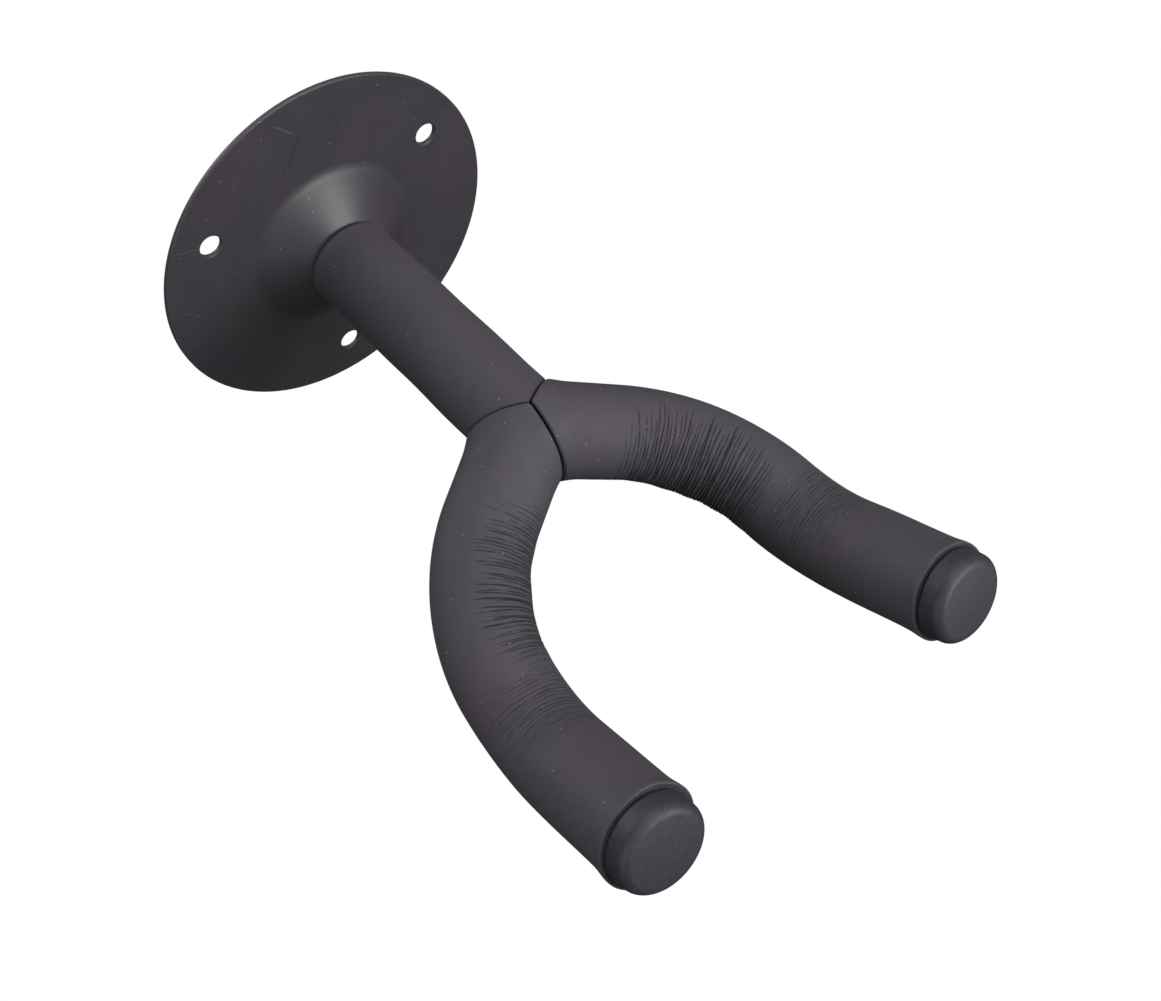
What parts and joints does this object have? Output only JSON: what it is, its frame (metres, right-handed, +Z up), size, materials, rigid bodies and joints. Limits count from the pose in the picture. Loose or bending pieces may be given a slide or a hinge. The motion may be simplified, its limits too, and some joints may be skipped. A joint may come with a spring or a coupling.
{
  "type": "wall guitar hanger",
  "caption": "Wall hanger for a guitar: a domed round steel plate with screw holes, and a foam-covered steel yoke that screws into it and cradles the guitar's neck.",
  "frame": {"origin": "centre of the wall plate's back face, on the wall", "axes": "+Z up, -Y out from the wall along the shank, +X to the right seen from the room"},
  "size_m": [0.1142, 0.1894, 0.098],
  "materials": {
    "black_paint": "satin",
    "stud_steel": "satin",
    "rod_steel": "satin",
    "foam": "matte",
    "cap_rubber": "matte"
  },
  "bodies": {
    "plate": {"wall_plate": "black_paint"},
    "stud": {"threaded_stud": "stud_steel"},
    "yoke": {"shank_rod": "rod_steel", "arm_rod_left": "rod_steel", "arm_rod_right": "rod_steel", "junction_weld": "rod_steel", "shank_sleeve": "foam", "arm_sleeve_left": "foam", "arm_sleeve_right": "foam", "end_cap_left": "cap_rubber", "end_cap_right": "cap_rubber"}
  },
  "joints": [
    {"name": "stud_slide", "type": "slide", "parent": "plate", "child": "stud", "axis": [0, -1, 0], "range_m": [0, 0.00572]},
    {"name": "yoke_turn", "type": "hinge", "parent": "stud", "child": "yoke", "pos_m": [0, -0.047, 0], "axis": [0, -1, 0], "range_deg": [0, 1620]}
  ],
  "couplings": [
    {"joint": "stud_slide", "follows": "yoke_turn", "m_per_rad": 0.00020213}
  ]
}
